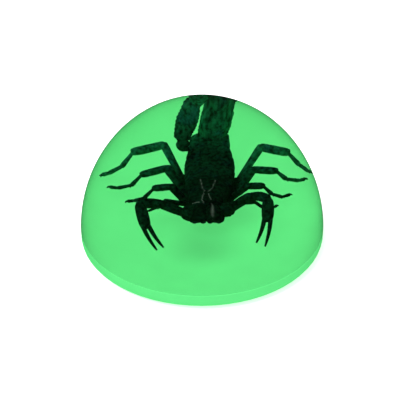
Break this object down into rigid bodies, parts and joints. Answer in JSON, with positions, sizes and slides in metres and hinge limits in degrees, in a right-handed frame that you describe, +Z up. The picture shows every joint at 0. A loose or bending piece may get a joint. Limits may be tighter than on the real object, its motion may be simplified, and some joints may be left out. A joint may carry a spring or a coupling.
{
  "type": "scorpion dome paperweight",
  "caption": "Clear resin dome paperweight with a dried scorpion cast inside it, on a glow-in-the-dark green base layer that lights it from below.",
  "frame": {"origin": "centre of the flat underside", "axes": "+Z up, -Y towards the front, which the scorpion faces, +X towards the scorpion's left"},
  "size_m": [0.07, 0.07, 0.042],
  "materials": {
    "clear_resin": "clear, polished casting resin",
    "glow_resin": "glow-in-the-dark green resin, lit up",
    "scorpion_shell": "dark green, faintly glossy dried shell"
  },
  "bodies": {
    "root": {"clear_dome_lower": "clear_resin", "clear_dome_upper": "clear_resin", "glow_base": "glow_resin", "scorpion": "scorpion_shell"}
  },
  "joints": []
}
